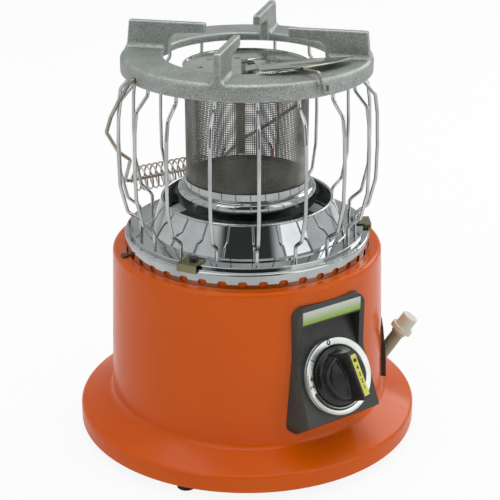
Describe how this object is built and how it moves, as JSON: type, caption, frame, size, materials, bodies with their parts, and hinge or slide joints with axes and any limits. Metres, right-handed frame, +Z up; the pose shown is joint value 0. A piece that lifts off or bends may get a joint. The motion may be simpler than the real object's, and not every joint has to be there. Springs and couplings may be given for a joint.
{
  "type": "portable propane heater",
  "caption": "Round table-top gas heater with a mesh burner in a wire cage, a cast pot ring, a control knob and a bail handle.",
  "frame": {"origin": "centre of the round base on the plane that the feet stand on", "axes": "+Z up along the burner, -Y towards the front, the control housing 35 degrees to its right"},
  "size_m": [0.271, 0.27, 0.3245],
  "materials": {
    "orange_enamel": "glossy enamel",
    "zinc_plate": "zinc plated sheet",
    "sole_rubber": "matte",
    "zinc_screw": "zinc plated",
    "dark_screw": "blackened",
    "chrome_sheet": "bright plated",
    "mirror_sheet": "mirror bright",
    "chrome_wire": "bright plated",
    "olive_plate": "passivated",
    "cast_ring": "rough cast",
    "steel_mesh": "woven wire",
    "tinted_steel": "heat tinted",
    "bail_steel": "drawn wire",
    "spring_steel": "drawn wire",
    "black_plastic": "fine texture",
    "knob_plastic": "satin",
    "label_foil": "pale to yellow-green gradient",
    "strip_foil": "yellow-green",
    "brass_fitting": "machined",
    "cast_iron": "as cast",
    "ceramic_white": "glazed",
    "lead_sleeve": "matte",
    "copper_lead": "drawn tube",
    "olive_tube": "passivated tube",
    "cap_plastic": "translucent white",
    "igniter_plastic": "moulded"
  },
  "bodies": {
    "heater": {"body_shell": "orange_enamel", "base_plate": "zinc_plate", "rubber_feet": "sole_rubber", "foot_screws": "zinc_screw", "vent_collar": "chrome_sheet", "collar_screws": "dark_screw", "guard_base_ring": "chrome_sheet", "reflector_cone": "mirror_sheet", "heat_shield": "zinc_plate", "guard_wires": "chrome_wire", "guard_clips": "olive_plate", "clip_screws": "dark_screw", "pot_ring": "cast_ring", "burner_bowl": "chrome_sheet", "bowl_rivets": "zinc_screw", "mesh_band": "chrome_sheet", "mesh_tube": "steel_mesh", "mesh_seam_strip": "olive_plate", "burner_head": "cast_iron", "mixer_tube": "zinc_plate", "jet_holder": "zinc_plate", "jet": "brass_fitting", "top_disc": "tinted_steel", "control_housing": "black_plastic", "housing_screws": "zinc_screw", "label_plate": "label_foil", "dial_bezel": "chrome_sheet", "gas_valve": "brass_fitting", "valve_bracket": "zinc_plate", "valve_screws": "zinc_screw", "piezo_igniter": "igniter_plastic", "electrode": "bail_steel", "electrode_sleeve": "ceramic_white", "ignition_lead": "lead_sleeve", "thermocouple": "copper_lead", "thermocouple_sleeve": "brass_fitting", "thermocouple_lead": "copper_lead", "inlet_pipe": "olive_tube", "inlet_grommet": "sole_rubber", "inlet_bracket": "zinc_plate", "bracket_screws": "zinc_screw", "feed_tube": "copper_lead", "gas_tube": "copper_lead"},
    "valve_core": {"valve_plug": "brass_fitting"},
    "knob_body": {"knob": "knob_plastic", "knob_strip": "strip_foil", "valve_stem": "brass_fitting"},
    "lid": {"lid_plate": "tinted_steel", "lid_hinge_pin": "bail_steel", "lid_lever": "bail_steel"},
    "bail": {"bail_wire": "bail_steel", "grip_spring": "spring_steel"},
    "cap": {"inlet_cap": "cap_plastic"}
  },
  "joints": [
    {"name": "knob_turn", "type": "hinge", "parent": "heater", "child": "valve_core", "pos_m": [0.06539, -0.09338, 0.083], "axis": [0.524, -0.7483, 0.4067], "range_deg": [0, 180]},
    {"name": "knob_push", "type": "slide", "parent": "valve_core", "child": "knob_body", "axis": [-0.524, 0.7483, -0.4067], "range_m": [0, 0.004], "stiffness_N_per_m": 800, "springref_m": -0.002},
    {"name": "lid_lift", "type": "hinge", "parent": "heater", "child": "lid", "pos_m": [0.00477, -0.00763, 0.2992], "axis": [-0.848, -0.5299, 0], "range_deg": [0, 95]},
    {"name": "bail_swing", "type": "hinge", "parent": "heater", "child": "bail", "pos_m": [0, 0, 0.2956], "axis": [0.848, 0.5299, 0], "range_deg": [0, 270]},
    {"name": "inlet_cap_pull", "type": "slide", "parent": "heater", "child": "cap", "axis": [0.5401, -0.0141, 0.8415], "range_m": [0, 0.04]}
  ]
}
